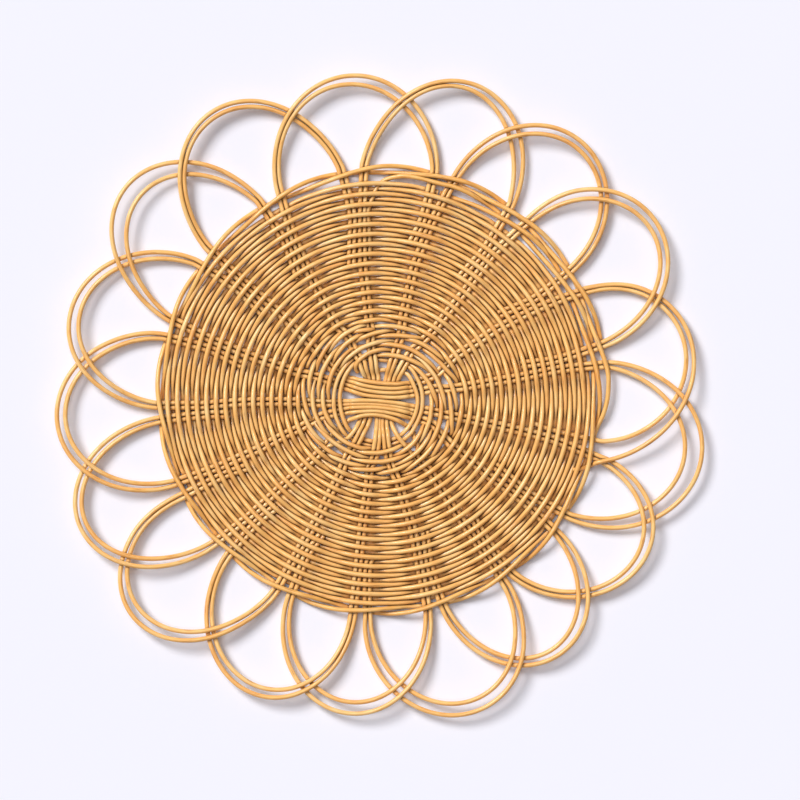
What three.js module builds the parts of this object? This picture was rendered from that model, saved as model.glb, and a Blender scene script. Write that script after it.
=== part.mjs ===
// A round placemat of rattan cane: a woven disc with a twined rim and seventeen looped petals.
// Seventeen long canes cross in bundles at the hub, nine over eight. Their thirty-four ends run out
// through the weave in pairs as stakes, and each pair bends round into a petal that is tucked back
// beside the second stake pair along. Millimetres, +Z up, the mat lies flat on z = 0.
import * as THREE from "three";

// Cane
const CANE = 2.4; // diameter
const SIDES = 6; // flats round a cane
const GAP = 0.3; // air between canes that touch
const STEP = CANE + GAP; // closest two centre lines come
const HALF_STEP = STEP / 2; // canes that cross share the rise between them
const STAKE_Z = STEP + CANE / 2; // the stakes' own level, with one cane below them

// Woven disc
const RIM_CENTRE = { x: 0.6, y: -0.6 }; // centre of the rim
const HUB_CENTRE = { x: -0.9, y: -7.8 }; // the hub sits low, so the rows drift outwards from it
const HUB_RADIUS = 24;
const RIM_RADIUS = 134.4;
const ROW_PITCH = 2.8; // from row to row of the weave
const WEAVE_FROM = 29.6; // first row's inner edge
const WEAVE_TO = 128.4; // last row's outer edge
const OVER_TOP = STAKE_Z + CANE * 1.5; // top of a row where it passes over a stake pair
const STAKE_TOP = STAKE_Z + CANE / 2; // top of the stakes, and of a row between two pairs
const VALLEY = 4.1; // floor of the groove between two rows
const LAST_GROOVE = ROW_PITCH / 4; // least that the last crest or groove keeps from the edge

// Twined rim
const RIM_LINE = 132.5; // radius that the two strands twist about
const RIM_SWING = 2; // each strand's swing to either side of it
const RIM_LEVEL = 1.35; // over 1, so that a strand runs level across the stakes
const RIM_SEAM = 0.54; // where a strand starts, in stake groups past the first
const RIM_OPEN = 0.08; // what a turn of it leaves open, in stake groups
const RIM_STEPS = 5; // steps from one stake group to the next

// Hub
const WRAP_FROM = 22.6; // first radius of the wrapping cane
const WRAP_TURNS = 1.9;
const WRAP_STEPS = 45; // steps to a turn
const WRAP_START = 47; // degrees, where its inner end shows
const WRAP_TURNOVERS = [41, 130, 218.5, 304]; // degrees, between the side bundles and the others
const WRAP_SLOPE = 4; // degrees to either side of those in which it climbs or dives
const EXIT = 28.2; // where the crossing canes reach the weave
const CROSS_FLAT = 16; // inside this radius the nine lie on the eight
const CROSS_TURNED = 21.4; // outside it they lie the other way up, for the wrapping cane
const CROSS_PASS = 20; // where their tables give the canes' outer passes, from the hub's centre
const PAIR_TURN = 3; // degrees between a stake and the middle of its pair, at the hub
const CROSS_STEPS = 11;

// Petals
const LOOP_FROM = 137.5; // radius past which a petal follows its own arc
const ARC_SAMPLES = 40; // points round a whole ellipse
const PETAL_STEPS = 13;
const FOOT_RADIUS = WEAVE_TO + 2 * GAP; // the canes' feet stand just clear of the weave
// Each foot's offset anticlockwise from the middle of its group of four.
const FOOT_OFFSETS = { lowInner: -6.1, lowOuter: -3.2, highOuter: 3.2, highInner: 6.1 };

const RATTAN = new THREE.MeshStandardMaterial({ color: 0xdda45f, roughness: 0.5, metalness: 0 });
const PEELED = new THREE.MeshStandardMaterial({ color: 0xe6b474, roughness: 0.5, metalness: 0 });
const RIM_CANE = new THREE.MeshStandardMaterial({ color: 0xd2984f, roughness: 0.48, metalness: 0 });

// Stake groups, anticlockwise from +X: their direction in the weave, and where they leave the hub.
const GROUPS = [
  { weave: 8.6, hub: 12.3 },
  { weave: 29.9, hub: 25.3 },
  { weave: 52.3, hub: 57.3 },
  { weave: 75.0, hub: 72.0 },
  { weave: 97.7, hub: 98.5 },
  { weave: 120.8, hub: 117.0 },
  { weave: 142.4, hub: 144.5 },
  { weave: 163.8, hub: 158.5 },
  { weave: 184.8, hub: 181.0 },
  { weave: 205.6, hub: 195.5 },
  { weave: 224.4, hub: 218.0 },
  { weave: 243.7, hub: 240.0 },
  { weave: 263.8, hub: 262.5 },
  { weave: 283.9, hub: 279.0 },
  { weave: 303.8, hub: 303.0 },
  { weave: 324.2, hub: 334.5 },
  { weave: 346.4, hub: 348.7 },
];
const COLUMNS = GROUPS.length * 2; // of the weave's relief: one on each group, one between groups

// One cane of a petal is an arc of an ellipse. at: its direction in degrees. centre: how far out its
// middle lies. long and wide: half its length and width. lean: degrees that it is turned.
const loop = (at, centre, long, wide, lean) => ({ at, centre, long, wide, lean });
const PETALS = [
  { outer: loop(4.4, 128.8, 60.7, 52.5, 22), inner: loop(6.2, 136.2, 48.3, 45.2, 24) },
  { outer: loop(30.4, 140.9, 52.0, 46.7, 3), inner: loop(30.3, 135.7, 52.2, 43.4, -1) },
  { outer: loop(51.1, 137.7, 53.0, 46.8, 2), inner: loop(51.1, 135.5, 50.6, 43.6, -4) },
  { outer: loop(74.1, 135.0, 55.9, 47.0, -6), inner: loop(74.3, 127.8, 59.5, 44.2, 1) },
  { outer: loop(96.5, 134.3, 54.4, 48.7, -5), inner: loop(96.6, 133.4, 50.4, 45.4, 8) },
  { outer: loop(120.7, 136.2, 58.2, 47.9, 1), inner: loop(120.7, 138.5, 52.4, 44.6, 3) },
  { outer: loop(141.8, 137.6, 57.3, 46.4, -1), inner: loop(142.1, 131.1, 54.0, 42.7, -5) },
  { outer: loop(165.0, 139.8, 52.0, 45.8, 13), inner: loop(164.8, 134.9, 51.1, 42.7, 8) },
  { outer: loop(185.7, 142.7, 52.3, 46.4, 1), inner: loop(185.7, 139.3, 50.6, 43.0, 0) },
  { outer: loop(205.1, 145.4, 52.9, 43.5, -3), inner: loop(205.0, 141.7, 52.4, 40.0, -4) },
  { outer: loop(224.3, 147.7, 54.2, 43.4, -8), inner: loop(224.3, 147.0, 49.2, 40.2, -13) },
  { outer: loop(245.6, 144.2, 54.0, 44.5, 11), inner: loop(245.6, 144.7, 48.6, 41.6, 15) },
  { outer: loop(264.2, 143.4, 51.9, 44.4, 1), inner: loop(264.2, 140.2, 48.3, 41.1, 1) },
  { outer: loop(284.6, 150.6, 51.2, 46.2, 18), inner: loop(284.6, 146.0, 48.8, 42.0, 14) },
  { outer: loop(303.5, 142.7, 49.0, 42.9, 5), inner: loop(303.5, 138.1, 48.7, 39.4, -2) },
  { outer: loop(324.3, 139.3, 50.1, 43.5, 30), inner: loop(324.1, 136.8, 47.1, 41.2, 23) },
  { outer: loop(346.0, 141.6, 55.1, 49.1, 11), inner: loop(345.9, 134.0, 52.4, 45.2, 6) },
];

// A petal cane's rise in half steps, at its first foot and its two crossings: over the neighbour is
// +1, under it is -1. The first petal's outer cane ends outside the rim, on top of another petal.
const UNDER_THEN_OVER = { foot: 0, first: -1, second: 1 };
const OVER_TWICE = { foot: 0, first: 1, second: 1 };
const UNDER_THEN_LEVEL = { foot: 0, first: -1, second: 0 };
const CROSSINGS = {
  0: { outer: { foot: 2, first: 2, second: -1 }, inner: { foot: 0, first: -2, second: -1 } },
  1: { outer: OVER_TWICE, inner: OVER_TWICE },
  16: { outer: UNDER_THEN_LEVEL, inner: UNDER_THEN_LEVEL },
};
const FIRST_CROSSING = 0.27; // share of the way along a petal cane
const SECOND_CROSSING = 0.73;
const LEVEL_FROM = 0.24; // shares of the way before and after a crossing where a cane is level again
const RISEN_FROM = 0.08; // and where it has all of its rise

// The nine canes on top of the cross: height above the hub's centre at the left, middle and right.
const OVER_CANES = [
  { left: 14.6, middle: 11.1, right: 12.6 },
  { left: 11.9, middle: 8.4, right: 9.8 },
  { left: 9.2, middle: 5.7, right: 7.0 },
  { left: 6.5, middle: 3.0, right: 4.2 },
  { left: 1.4, middle: 0.1, right: -1.0 },
  { left: -1.4, middle: -2.6, right: -3.9 },
  { left: -4.2, middle: -5.3, right: -6.8 },
  { left: -7.0, middle: -8.0, right: -9.7 },
  { left: -11.6, middle: -10.7, right: -13.6 },
];

// The eight canes below them: offset to the right of the hub's centre at the top, middle and bottom.
const UNDER_CANES = [
  { top: -10.5, middle: -10.4, bottom: -13.2 },
  { top: -7.6, middle: -7.6, bottom: -9.9 },
  { top: -4.6, middle: -4.6, bottom: -6.3 },
  { top: -1.5, middle: -1.9, bottom: -2.9 },
  { top: 3.2, middle: 1.6, bottom: 0.0 },
  { top: 6.0, middle: 4.3, bottom: 3.0 },
  { top: 8.8, middle: 7.0, bottom: 6.0 },
  { top: 11.6, middle: 9.7, bottom: 9.8 },
];

// The pair that each end of a crossing cane joins, and the side of the pair that it takes.
const LEFT_EXITS = [[6, -1], [6, 1], [7, -1], [7, 1], [8, -1], [8, 1], [9, -1], [9, 1], [10, -1]];
const RIGHT_EXITS = [[1, 1], [1, -1], [0, 1], [0, -1], [16, 1], [16, -1], [15, 1], [15, -1], [14, 1]];
const TOP_EXITS = [[5, 1], [5, -1], [4, 1], [4, -1], [3, 1], [3, -1], [2, 1], [2, -1]];
const BOTTOM_EXITS = [[10, 1], [11, -1], [11, 1], [12, -1], [12, 1], [13, -1], [13, 1], [14, -1]];

const { degToRad, radToDeg, clamp, lerp, smoothstep, euclideanModulo } = THREE.MathUtils;

/** Point at a radius and a direction in degrees, about a centre. */
function polar(radius, degrees, z = 0, centre = { x: 0, y: 0 }) {
  const angle = degToRad(degrees);
  return new THREE.Vector3(
    centre.x + radius * Math.cos(angle),
    centre.y + radius * Math.sin(angle),
    z,
  );
}

/** A round cane swept along a curve. */
function cane(name, curve, steps, material) {
  const section = new THREE.Shape(
    Array.from({ length: SIDES }, (_, i) => {
      const turn = (i / SIDES) * Math.PI * 2;
      return new THREE.Vector2(Math.cos(turn) * CANE * 0.5, Math.sin(turn) * CANE * 0.5);
    }),
  );
  const geometry = new THREE.ExtrudeGeometry(section, { steps, extrudePath: curve });
  const mesh = new THREE.Mesh(geometry, material);
  mesh.name = name;
  return mesh;
}

/** Point in the weave, about the centre that its rows have at that radius. */
function weavePoint(radius, degrees, z) {
  const share = (radius - HUB_RADIUS) / (RIM_RADIUS - HUB_RADIUS);
  return polar(radius, degrees, z, {
    x: lerp(HUB_CENTRE.x, RIM_CENTRE.x, share),
    y: lerp(HUB_CENTRE.y, RIM_CENTRE.y, share),
  });
}

/**
 * Column of the weave's top face, from the inner edge to the outer one. The weaver winds outwards
 * clockwise in one spiral, so with an odd number of groups each turn passes over the pairs that
 * the last turn passed under.
 */
function weaveColumn(index) {
  const group = index / 2;
  const here = GROUPS[Math.floor(group)].weave;
  const next = GROUPS[Math.ceil(group) % GROUPS.length].weave;
  const degrees = group % 1 ? (here + next + (next < here ? 360 : 0)) / 2 : here;
  const points = [{ radius: WEAVE_FROM, z: STAKE_TOP }];
  const turns = Math.ceil((WEAVE_TO - WEAVE_FROM) / ROW_PITCH);
  for (let half = 0; half < turns * 2; half += 1) {
    const wound = half / 2 + (COLUMNS - index) / COLUMNS;
    const radius = WEAVE_FROM + wound * ROW_PITCH;
    if (radius > WEAVE_TO - LAST_GROOVE) break;
    const crest = half % 2 === 0;
    const passed = Math.round(wound * GROUPS.length);
    const over = group % 1 === 0 && passed % 2 === 0;
    points.push({ radius, z: crest ? (over ? OVER_TOP : STAKE_TOP) : VALLEY });
  }
  points.push({ radius: WEAVE_TO, z: STAKE_TOP });
  return points.map(({ radius, z }) => ({ radius, point: weavePoint(radius, degrees, z) }));
}

/** The woven disc: rows in relief on top, a flat face below, open at the hub. */
function wovenDisc() {
  const vertices = [];
  const triangles = [];
  const add = (point) => vertices.push(point.x, point.y, point.z) / 3 - 1;
  const columns = Array.from({ length: COLUMNS }, (_, i) => {
    const top = weaveColumn(i).map(({ radius, point }) => ({ radius, id: add(point), point }));
    const low = [top[0], top[top.length - 1]].map(({ point }) => add(point.clone().setZ(0)));
    return { top, low };
  });
  columns.forEach((a, i) => {
    const b = columns[(i + 1) % columns.length];
    let m = 0;
    let n = 0;
    while (m < a.top.length - 1 || n < b.top.length - 1) {
      const stepA = m < a.top.length - 1 ? a.top[m + 1].radius : Infinity;
      const stepB = n < b.top.length - 1 ? b.top[n + 1].radius : Infinity;
      if (stepA <= stepB) {
        triangles.push(a.top[m].id, a.top[m + 1].id, b.top[n].id);
        m += 1;
      } else {
        triangles.push(a.top[m].id, b.top[n + 1].id, b.top[n].id);
        n += 1;
      }
    }
    const [aIn, aOut] = [a.top[0].id, a.top[a.top.length - 1].id];
    const [bIn, bOut] = [b.top[0].id, b.top[b.top.length - 1].id];
    triangles.push(aIn, bIn, b.low[0], aIn, b.low[0], a.low[0]);
    triangles.push(aOut, a.low[1], b.low[1], aOut, b.low[1], bOut);
    triangles.push(a.low[0], b.low[0], b.low[1], a.low[0], b.low[1], a.low[1]);
  });
  const geometry = new THREE.BufferGeometry();
  geometry.setAttribute("position", new THREE.Float32BufferAttribute(vertices, 3));
  geometry.setIndex(triangles);
  geometry.computeVertexNormals();
  const mesh = new THREE.Mesh(geometry, RATTAN);
  mesh.name = "woven_disc";
  return mesh;
}

/** One of the rim's two strands: over a stake group, in, under the next group, out again. */
class RimStrand extends THREE.Curve {
  constructor(lead) {
    super();
    this.lead = lead;
  }

  getPoint(share) {
    const count = GROUPS.length;
    const place = RIM_SEAM + share * (count - RIM_OPEN);
    const i = Math.floor(place) % count;
    const here = GROUPS[i].weave;
    const next = GROUPS[(i + 1) % count].weave + (i + 1 === count ? 360 : 0);
    const turn = (place + this.lead) * Math.PI;
    const rise = clamp(RIM_LEVEL * Math.cos(turn), -1, 1) * STEP;
    const radius = RIM_LINE - RIM_SWING * Math.sin(turn);
    return polar(radius, lerp(here, next, place % 1), STAKE_Z + rise, RIM_CENTRE);
  }
}

/** The wrapping cane of the hub: over the side bundles, under the top and bottom ones. */
class Wrap extends THREE.Curve {
  getPoint(share) {
    const wound = share * WRAP_TURNS;
    const degrees = WRAP_START - wound * 360;
    const offsets = WRAP_TURNOVERS.map((edge) => euclideanModulo(degrees - edge + 180, 360) - 180);
    const nearest = offsets.reduce((best, one) => (Math.abs(one) < Math.abs(best) ? one : best));
    const level = offsets.indexOf(nearest) % 2 === 0 ? -1 : 1; // anticlockwise of that turnover
    const rise = level * clamp(nearest / WRAP_SLOPE, -1, 1) * HALF_STEP;
    return polar(WRAP_FROM + wound * STEP, degrees, STAKE_Z + rise, HUB_CENTRE);
  }
}

/** Where one end of a crossing cane reaches the weave. */
function exitPoint([group, side]) {
  return weavePoint(EXIT, GROUPS[group].hub + side * PAIR_TURN, 0);
}

/** A crossing cane between two exits, through three points. level: +1 on top of the cross, or -1. */
function crossingCane(name, from, passes, to, level) {
  const hub = new THREE.Vector3(HUB_CENTRE.x, HUB_CENTRE.y, 0);
  const between = passes.map(([x, y]) => new THREE.Vector3(x, y, 0).add(hub));
  const flat = new THREE.CatmullRomCurve3(
    [exitPoint(from), ...between, exitPoint(to)],
    false,
    "centripetal",
  );
  const points = flat.getSpacedPoints(CROSS_STEPS * 2).map((point) => {
    const turned = smoothstep(point.distanceTo(hub), CROSS_FLAT, CROSS_TURNED);
    return point.setZ(STAKE_Z + level * HALF_STEP * (1 - 2 * turned));
  });
  return cane(name, new THREE.CatmullRomCurve3(points, false, "centripetal"), CROSS_STEPS, PEELED);
}

/** Point of a petal cane's own ellipse. */
function loopPoint({ at, centre, long, wide, lean }, turn) {
  const [along, across] = [long * Math.cos(turn), wide * Math.sin(turn)];
  const tilt = degToRad(lean);
  const u = centre + along * Math.cos(tilt) - across * Math.sin(tilt);
  const v = along * Math.sin(tilt) + across * Math.cos(tilt);
  return new THREE.Vector3(u, v, 0).applyAxisAngle(new THREE.Vector3(0, 0, 1), degToRad(at));
}

/** Foot of a petal cane, inside the rim and level with the stakes. */
function footPoint(group, offset) {
  const degrees = GROUPS[(group + GROUPS.length) % GROUPS.length].weave;
  return weavePoint(FOOT_RADIUS, degrees + radToDeg(offset / FOOT_RADIUS), STAKE_Z);
}

/** How high a petal cane lies, some share of the way along it. */
function petalRise({ foot, first, second }, share) {
  const near = (middle) => 1 - smoothstep(Math.abs(share - middle), RISEN_FROM, LEVEL_FROM);
  const start = share < FIRST_CROSSING ? foot * (1 - near(FIRST_CROSSING)) : 0;
  return start + first * near(FIRST_CROSSING) + second * near(SECOND_CROSSING);
}

/** One cane of a petal, from its clockwise foot round to its anticlockwise one. */
function petalCane(index, which) {
  const crossing = (CROSSINGS[index] ?? {})[which] ?? UNDER_THEN_OVER;
  const inner = which === "inner";
  const arc = Array.from({ length: ARC_SAMPLES }, (_, i) =>
    loopPoint(PETALS[index][which], (i / ARC_SAMPLES - 0.5) * Math.PI * 2),
  ).filter((point) => point.length() > LOOP_FROM);
  arc.forEach((point, i) => {
    point.z = STAKE_Z + petalRise(crossing, i / (arc.length - 1)) * HALF_STEP;
  });
  const first = footPoint(index - 1, inner ? FOOT_OFFSETS.highInner : FOOT_OFFSETS.highOuter);
  const last = footPoint(index + 1, inner ? FOOT_OFFSETS.lowInner : FOOT_OFFSETS.lowOuter);
  const points = crossing.foot ? [...arc, last] : [first, ...arc, last];
  const curve = new THREE.CatmullRomCurve3(points, false, "centripetal");
  const number = String(index + 1).padStart(2, "0");
  return cane(`petal_${number}_${which}`, curve, PETAL_STEPS, PEELED);
}

const mat = new THREE.Group();
mat.add(wovenDisc());
mat.add(cane("rim_strand_a", new RimStrand(0), GROUPS.length * RIM_STEPS, RIM_CANE));
mat.add(cane("rim_strand_b", new RimStrand(1), GROUPS.length * RIM_STEPS, RIM_CANE));
mat.add(cane("hub_wrap", new Wrap(), Math.round(WRAP_TURNS * WRAP_STEPS), RIM_CANE));
OVER_CANES.forEach(({ left, middle, right }, i) => {
  const passes = [[-CROSS_PASS, left], [0, middle], [CROSS_PASS, right]];
  mat.add(crossingCane(`cross_over_${i + 1}`, LEFT_EXITS[i], passes, RIGHT_EXITS[i], 1));
});
UNDER_CANES.forEach(({ top, middle, bottom }, i) => {
  const passes = [[top, CROSS_PASS], [middle, 0], [bottom, -CROSS_PASS]];
  mat.add(crossingCane(`cross_under_${i + 1}`, TOP_EXITS[i], passes, BOTTOM_EXITS[i], -1));
});
PETALS.forEach((_, i) => mat.add(petalCane(i, "outer"), petalCane(i, "inner")));

// The origin is the middle of the mat's own box, on the surface that it lies on.
const box = new THREE.Box3().setFromObject(mat);
const middle = box.getCenter(new THREE.Vector3());
mat.position.set(-middle.x, -middle.y, -box.min.z);

const placemat = new THREE.Group();
placemat.add(mat);
export default placemat;
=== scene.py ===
"""Dresses the rattan placemat: each cane of its hub, weave, rim and petals is swept at its own length.

The mat is worked as a basket maker works it. Seventeen long canes cross at the hub and run out as stakes,
bend round as petals and are tucked back into the weave. A wrapping cane binds the hub, the weaver winds
outwards clockwise, over one group of stakes and under the next, and two strands are twined round the rim.
"""

import logging
import math
from dataclasses import dataclass
from enum import Enum
from functools import cached_property, partial
from typing import Any, Callable, Iterable, Sequence

import bpy
import numpy as np
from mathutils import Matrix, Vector


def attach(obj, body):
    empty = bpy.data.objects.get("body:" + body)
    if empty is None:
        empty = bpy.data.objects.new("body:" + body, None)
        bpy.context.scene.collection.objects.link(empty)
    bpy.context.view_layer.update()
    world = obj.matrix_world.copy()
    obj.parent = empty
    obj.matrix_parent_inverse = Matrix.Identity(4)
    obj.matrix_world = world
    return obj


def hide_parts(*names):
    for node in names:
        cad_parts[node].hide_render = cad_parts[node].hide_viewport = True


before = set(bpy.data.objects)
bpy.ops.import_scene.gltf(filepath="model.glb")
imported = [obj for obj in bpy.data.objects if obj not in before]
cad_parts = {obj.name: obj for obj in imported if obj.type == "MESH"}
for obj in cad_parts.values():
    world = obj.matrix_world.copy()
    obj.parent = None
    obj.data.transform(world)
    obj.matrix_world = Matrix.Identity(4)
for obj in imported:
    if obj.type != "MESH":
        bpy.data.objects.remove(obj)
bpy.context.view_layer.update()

log = logging.getLogger("placemat")

MM = 0.001  # metres
IMAGE_SIZE = 800  # pixels, both ways
PIXEL = 0.6  # mm on the mat that one pixel of the photograph shows
CANE = 2.8  # mm, thickness of a cane of this mat
HUB_CANE = 2.75  # mm, the canes woven round the hub are a little thinner
STEP = 2.6  # mm, from a stake's centre line up to that of a cane pressed on it
MEASURED_FROM = np.array([0.841, 3.850])  # mm, where the tables' origin lies in the mat's own frame
MEASURED_REACHES = (0.1, 0.15, 0.25, 0.5)  # where the groups' hub to middle directions were read
MEASURED_ROWS = (0, 7, 13)  # the passes of the weaver over each group that were read
PATTERN_SPREAD = 900.0  # mm, between the patterns of a cane of tone 0 and one of tone 1
# Streaks in the cane: features in a mm along it, features in its thickness across it, and octaves of finer
# detail. Real pores are about 0.3 mm wide. They are drawn 0.7 mm wide, or they would be too fine to show.
STREAKS = {
    "drift": (0.011, 0.25, 3.0),
    "patch": (0.09, 0.7, 2.0),
    "pores": (0.12, 4.2, 4.0),
    "fibre": (0.35, 9.0, 3.0),
}
TONE_SHARE, PATCH_SHARE = 0.5, 0.3  # how much of a cane's shade they decide
PALE_SHADE, BODY_SHADE, DEEP_SHADE = 0.28, 0.5, 0.76  # shades that have the finish's three colours
PORE_STAIN = (0.56, 0.72, 0.0, 0.55)  # from and to which height of the noise, and how much at either
CREVICE_SHADE = (0.3, 0.95, 1.0, 0.0)  # painted shade: from and to how open a place, and how much at either
RELIEF = 0.12  # mm, height of the fibres
VALUE_A, VALUE_B = 2, 3  # sockets of a Mix node for values
COLOUR_A, COLOUR_B = 6, 7  # sockets of a Mix node for colours


class Slot(Enum):
    """Material slots, named but not given to any piece."""

    WEAVE = "weave"
    RIM = "rim"
    HUB = "hub"
    PETALS = "petals"


@dataclass(frozen=True)
class StakeGroup:
    """One group of stakes: a pair that comes from the hub, and outside it a tucked pair beside them.

    Args:
        hub: direction of the pair where it leaves the hub, in degrees, as all the directions are.
        near: the same a little further out.
        inner: the same a quarter of the way out through the weave.
        middle: the same halfway out.
        outer: direction of the middle of all four canes, three quarters of the way out.
        low_foot: direction of the clockwise pair under the rim.
        high_foot: direction of the anticlockwise pair under the rim.
        tucked: how far in the tucked pair reaches, as a share of the way from the hub to the rim.
        first_row: how far out the weaver first passes over the group in its single spiral.
        middle_row: the same seven passes later.
        last_row: the same thirteen passes later.
    """

    hub: float
    near: float
    inner: float
    middle: float
    outer: float
    low_foot: float
    high_foot: float
    tucked: float
    first_row: float
    middle_row: float
    last_row: float


# One row for each group, anticlockwise from the right. The columns are the fields of StakeGroup.
GROUPS = tuple(StakeGroup(*row) for row in (
    (12.3, 9.5, 8.3, 7.5, 9.2, 6.4, 11.6, 0.56, 0.250, 0.580, 0.872),
    (25.3, 26.0, 29.5, 30.0, 30.0, 26.0, 32.5, 0.555, 0.212, 0.544, 0.839),
    (57.3, 55.0, 52.0, 51.2, 52.7, 49.0, 55.1, 0.57, 0.224, 0.556, 0.854),
    (72.0, 72.0, 74.5, 75.5, 75.0, 70.8, 76.5, 0.59, 0.238, 0.573, 0.880),
    (99.0, 97.5, 98.0, 97.8, 97.7, 94.5, 100.6, 0.48, 0.215, 0.554, 0.860),
    (117.0, 116.5, 120.6, 120.5, 121.0, 117.1, 123.1, 0.55, 0.244, 0.581, 0.886),
    (145.5, 143.5, 142.0, 140.5, 142.6, 140.7, 145.6, 0.53, 0.215, 0.559, 0.871),
    (158.5, 159.5, 162.2, 163.0, 164.0, 161.3, 166.3, 0.56, 0.246, 0.594, 0.913),
    (182.3, 182.0, 181.8, 182.5, 185.5, 183.9, 187.7, 0.60, 0.228, 0.578, 0.895),
    (194.8, 197.0, 200.0, 203.5, 206.0, 204.2, 208.0, 0.615, 0.253, 0.605, 0.923),
    (217.0, 220.0, 221.7, 222.5, 224.6, 222.5, 227.1, 0.59, 0.218, 0.574, 0.890),
    (240.0, 240.0, 242.0, 242.8, 243.8, 242.1, 246.1, 0.61, 0.231, 0.592, 0.913),
    (264.3, 261.5, 262.2, 262.0, 264.0, 262.6, 266.4, 0.65, 0.209, 0.566, 0.885),
    (279.0, 280.0, 282.5, 283.5, 284.0, 281.7, 285.9, 0.565, 0.238, 0.592, 0.911),
    (303.0, 302.0, 304.6, 302.8, 304.0, 302.4, 305.4, 0.59, 0.214, 0.567, 0.881),
    (336.0, 331.0, 327.0, 323.5, 324.2, 320.7, 326.0, 0.52, 0.250, 0.594, 0.907),
    (348.7, 347.6, 347.0, 346.0, 346.5, 342.5, 347.1, 0.60, 0.229, 0.567, 0.869),
))  # fmt: skip
COUNT = len(GROUPS)


@dataclass(frozen=True)
class Weave:
    """Where things lie in the weave. A reach is a share of the way from the hub, 0, to the rim, 1.

    Args:
        hub_centre: centre of the rows at the hub, in mm from the tables' origin.
        rim_centre: centre of the rows at the rim.
        hub_radius: radius at reach 0, in mm.
        rim_radius: radius at reach 1, in mm.
        level: height of the stakes' centre lines above the table, in mm.
        pair_pitch: from one stake of a pair to the other, in mm.
        four_pitch: from cane to cane where four lie side by side, in mm.
        foot_reach: where the feet of the petals pass under the rim.
        outer_reach: where the outer directions of the groups were read.
        merge_reach: where the pair from the hub begins to make room for the tucked pair.
        merge_shift: how far from the outer direction their middle lies there, in canes.
        splay: how far the tips of the tucked pair splay, in mm.
        splay_reach: where they start to.
        widening: reach to either side of the tips in which the weaver's bow widens to four canes.
    """

    hub_centre: tuple[float, float] = (-0.9, -7.8)
    rim_centre: tuple[float, float] = (0.6, -0.6)
    hub_radius: float = 24.0
    rim_radius: float = 134.4
    level: float = STEP + CANE / 2 + 0.25
    pair_pitch: float = 3.05
    four_pitch: float = 2.9
    foot_reach: float = 1.011
    outer_reach: float = 0.75
    merge_reach: float = 0.62
    merge_shift: float = 0.2
    splay: float = 1.3
    splay_reach: float = 0.72
    widening: float = 0.03

    def radius(self, reach: float) -> float:
        """Radius at a reach, in mm."""
        return self.hub_radius + (self.rim_radius - self.hub_radius) * reach

    def point(self, reach: float, degrees: float, rise: float = 0.0) -> np.ndarray:
        """A point of the weave, in mm in the mat's frame.

        Args:
            reach: share of the way from the hub to the rim.
            degrees: direction, anticlockwise from +X.
            rise: height above the stakes' level, in steps from cane to cane.

        Returns:
            The point as an array of three.
        """
        centre = np.array(self.hub_centre) * (1 - reach) + np.array(self.rim_centre) * reach
        angle = math.radians(degrees)
        outwards = np.array([math.cos(angle), math.sin(angle)])
        x, y = centre + self.radius(reach) * outwards + MEASURED_FROM
        return np.array([x, y, self.level + rise * STEP])

    def turn(self, offset: float, reach: float) -> float:
        """Degrees that an offset along a row takes up, in mm, at a reach."""
        return math.degrees(offset / self.radius(reach))

    def pair(self, group: int, reach: float) -> float:
        """Direction of the pair of a group that comes from the hub.

        Args:
            group: the group's number.
            reach: how far out.

        Returns:
            The direction in degrees.
        """
        g = GROUPS[group]
        outer = g.outer - self.turn(self.four_pitch, self.outer_reach)
        reaches = (*MEASURED_REACHES, self.outer_reach, self.foot_reach)
        return float(np.interp(reach, reaches, (g.hub, g.near, g.inner, g.middle, outer, g.low_foot)))

    def tucked(self, group: int, reach: float) -> float:
        """Direction of the tucked pair of a group, which splays a little towards its tips.

        Args:
            group: the group's number.
            reach: how far out.

        Returns:
            The direction in degrees.
        """
        g = GROUPS[group]
        if reach <= self.outer_reach:
            beside = self.pair(group, reach) + self.turn(2 * self.four_pitch, reach)
            share = max(0.0, (self.splay_reach - reach) / (self.splay_reach - g.tucked))
            return beside + self.turn(self.splay, reach) * share
        settled = g.outer + self.turn(self.four_pitch, reach)
        return float(np.interp(reach, (self.outer_reach, self.foot_reach), (settled, g.high_foot)))

    def middle(self, group: int, reach: float) -> float:
        """Direction of the middle of a group, of two canes inside and of four outside.

        Args:
            group: the group's number.
            reach: how far out.

        Returns:
            The direction in degrees.
        """
        g = GROUPS[group]
        merging = g.outer - self.turn(self.four_pitch, self.merge_reach) * self.merge_shift
        foot = (g.low_foot + g.high_foot) / 2
        reaches = (*MEASURED_REACHES, self.merge_reach, self.outer_reach, self.foot_reach)
        return float(np.interp(reach, reaches, (g.hub, g.near, g.inner, g.middle, merging, g.outer, foot)))

    def half_width(self, group: int, reach: float) -> float:
        """Half the width of a group, which widens where the tips of its tucked pair lie.

        Args:
            group: the group's number.
            reach: how far out.

        Returns:
            Half the width in mm.
        """
        tip = GROUPS[group].tucked
        reaches = (tip - self.widening, tip + self.widening)
        return float(np.interp(reach, reaches, (self.pair_pitch, 2 * self.four_pitch)))


WEAVE = Weave()


@dataclass
class CanePath:
    """The centre line of one cane.

    Args:
        points: points in mm, in the mat's frame, that a smooth curve is drawn through.
        thickness: diameter in mm, one for the cane or one for each point.
        tone: how dark the cane is beside its neighbours, from 0 to 1.
    """

    points: list[np.ndarray]
    thickness: float | list[float] = CANE
    tone: float = 0.5


def smoothstep(value: float, low: float, high: float) -> float:
    """Goes smoothly from 0 at low to 1 at high."""
    x = min(1.0, max(0.0, (value - low) / (high - low)))
    return x * x * (3 - 2 * x)


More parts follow.
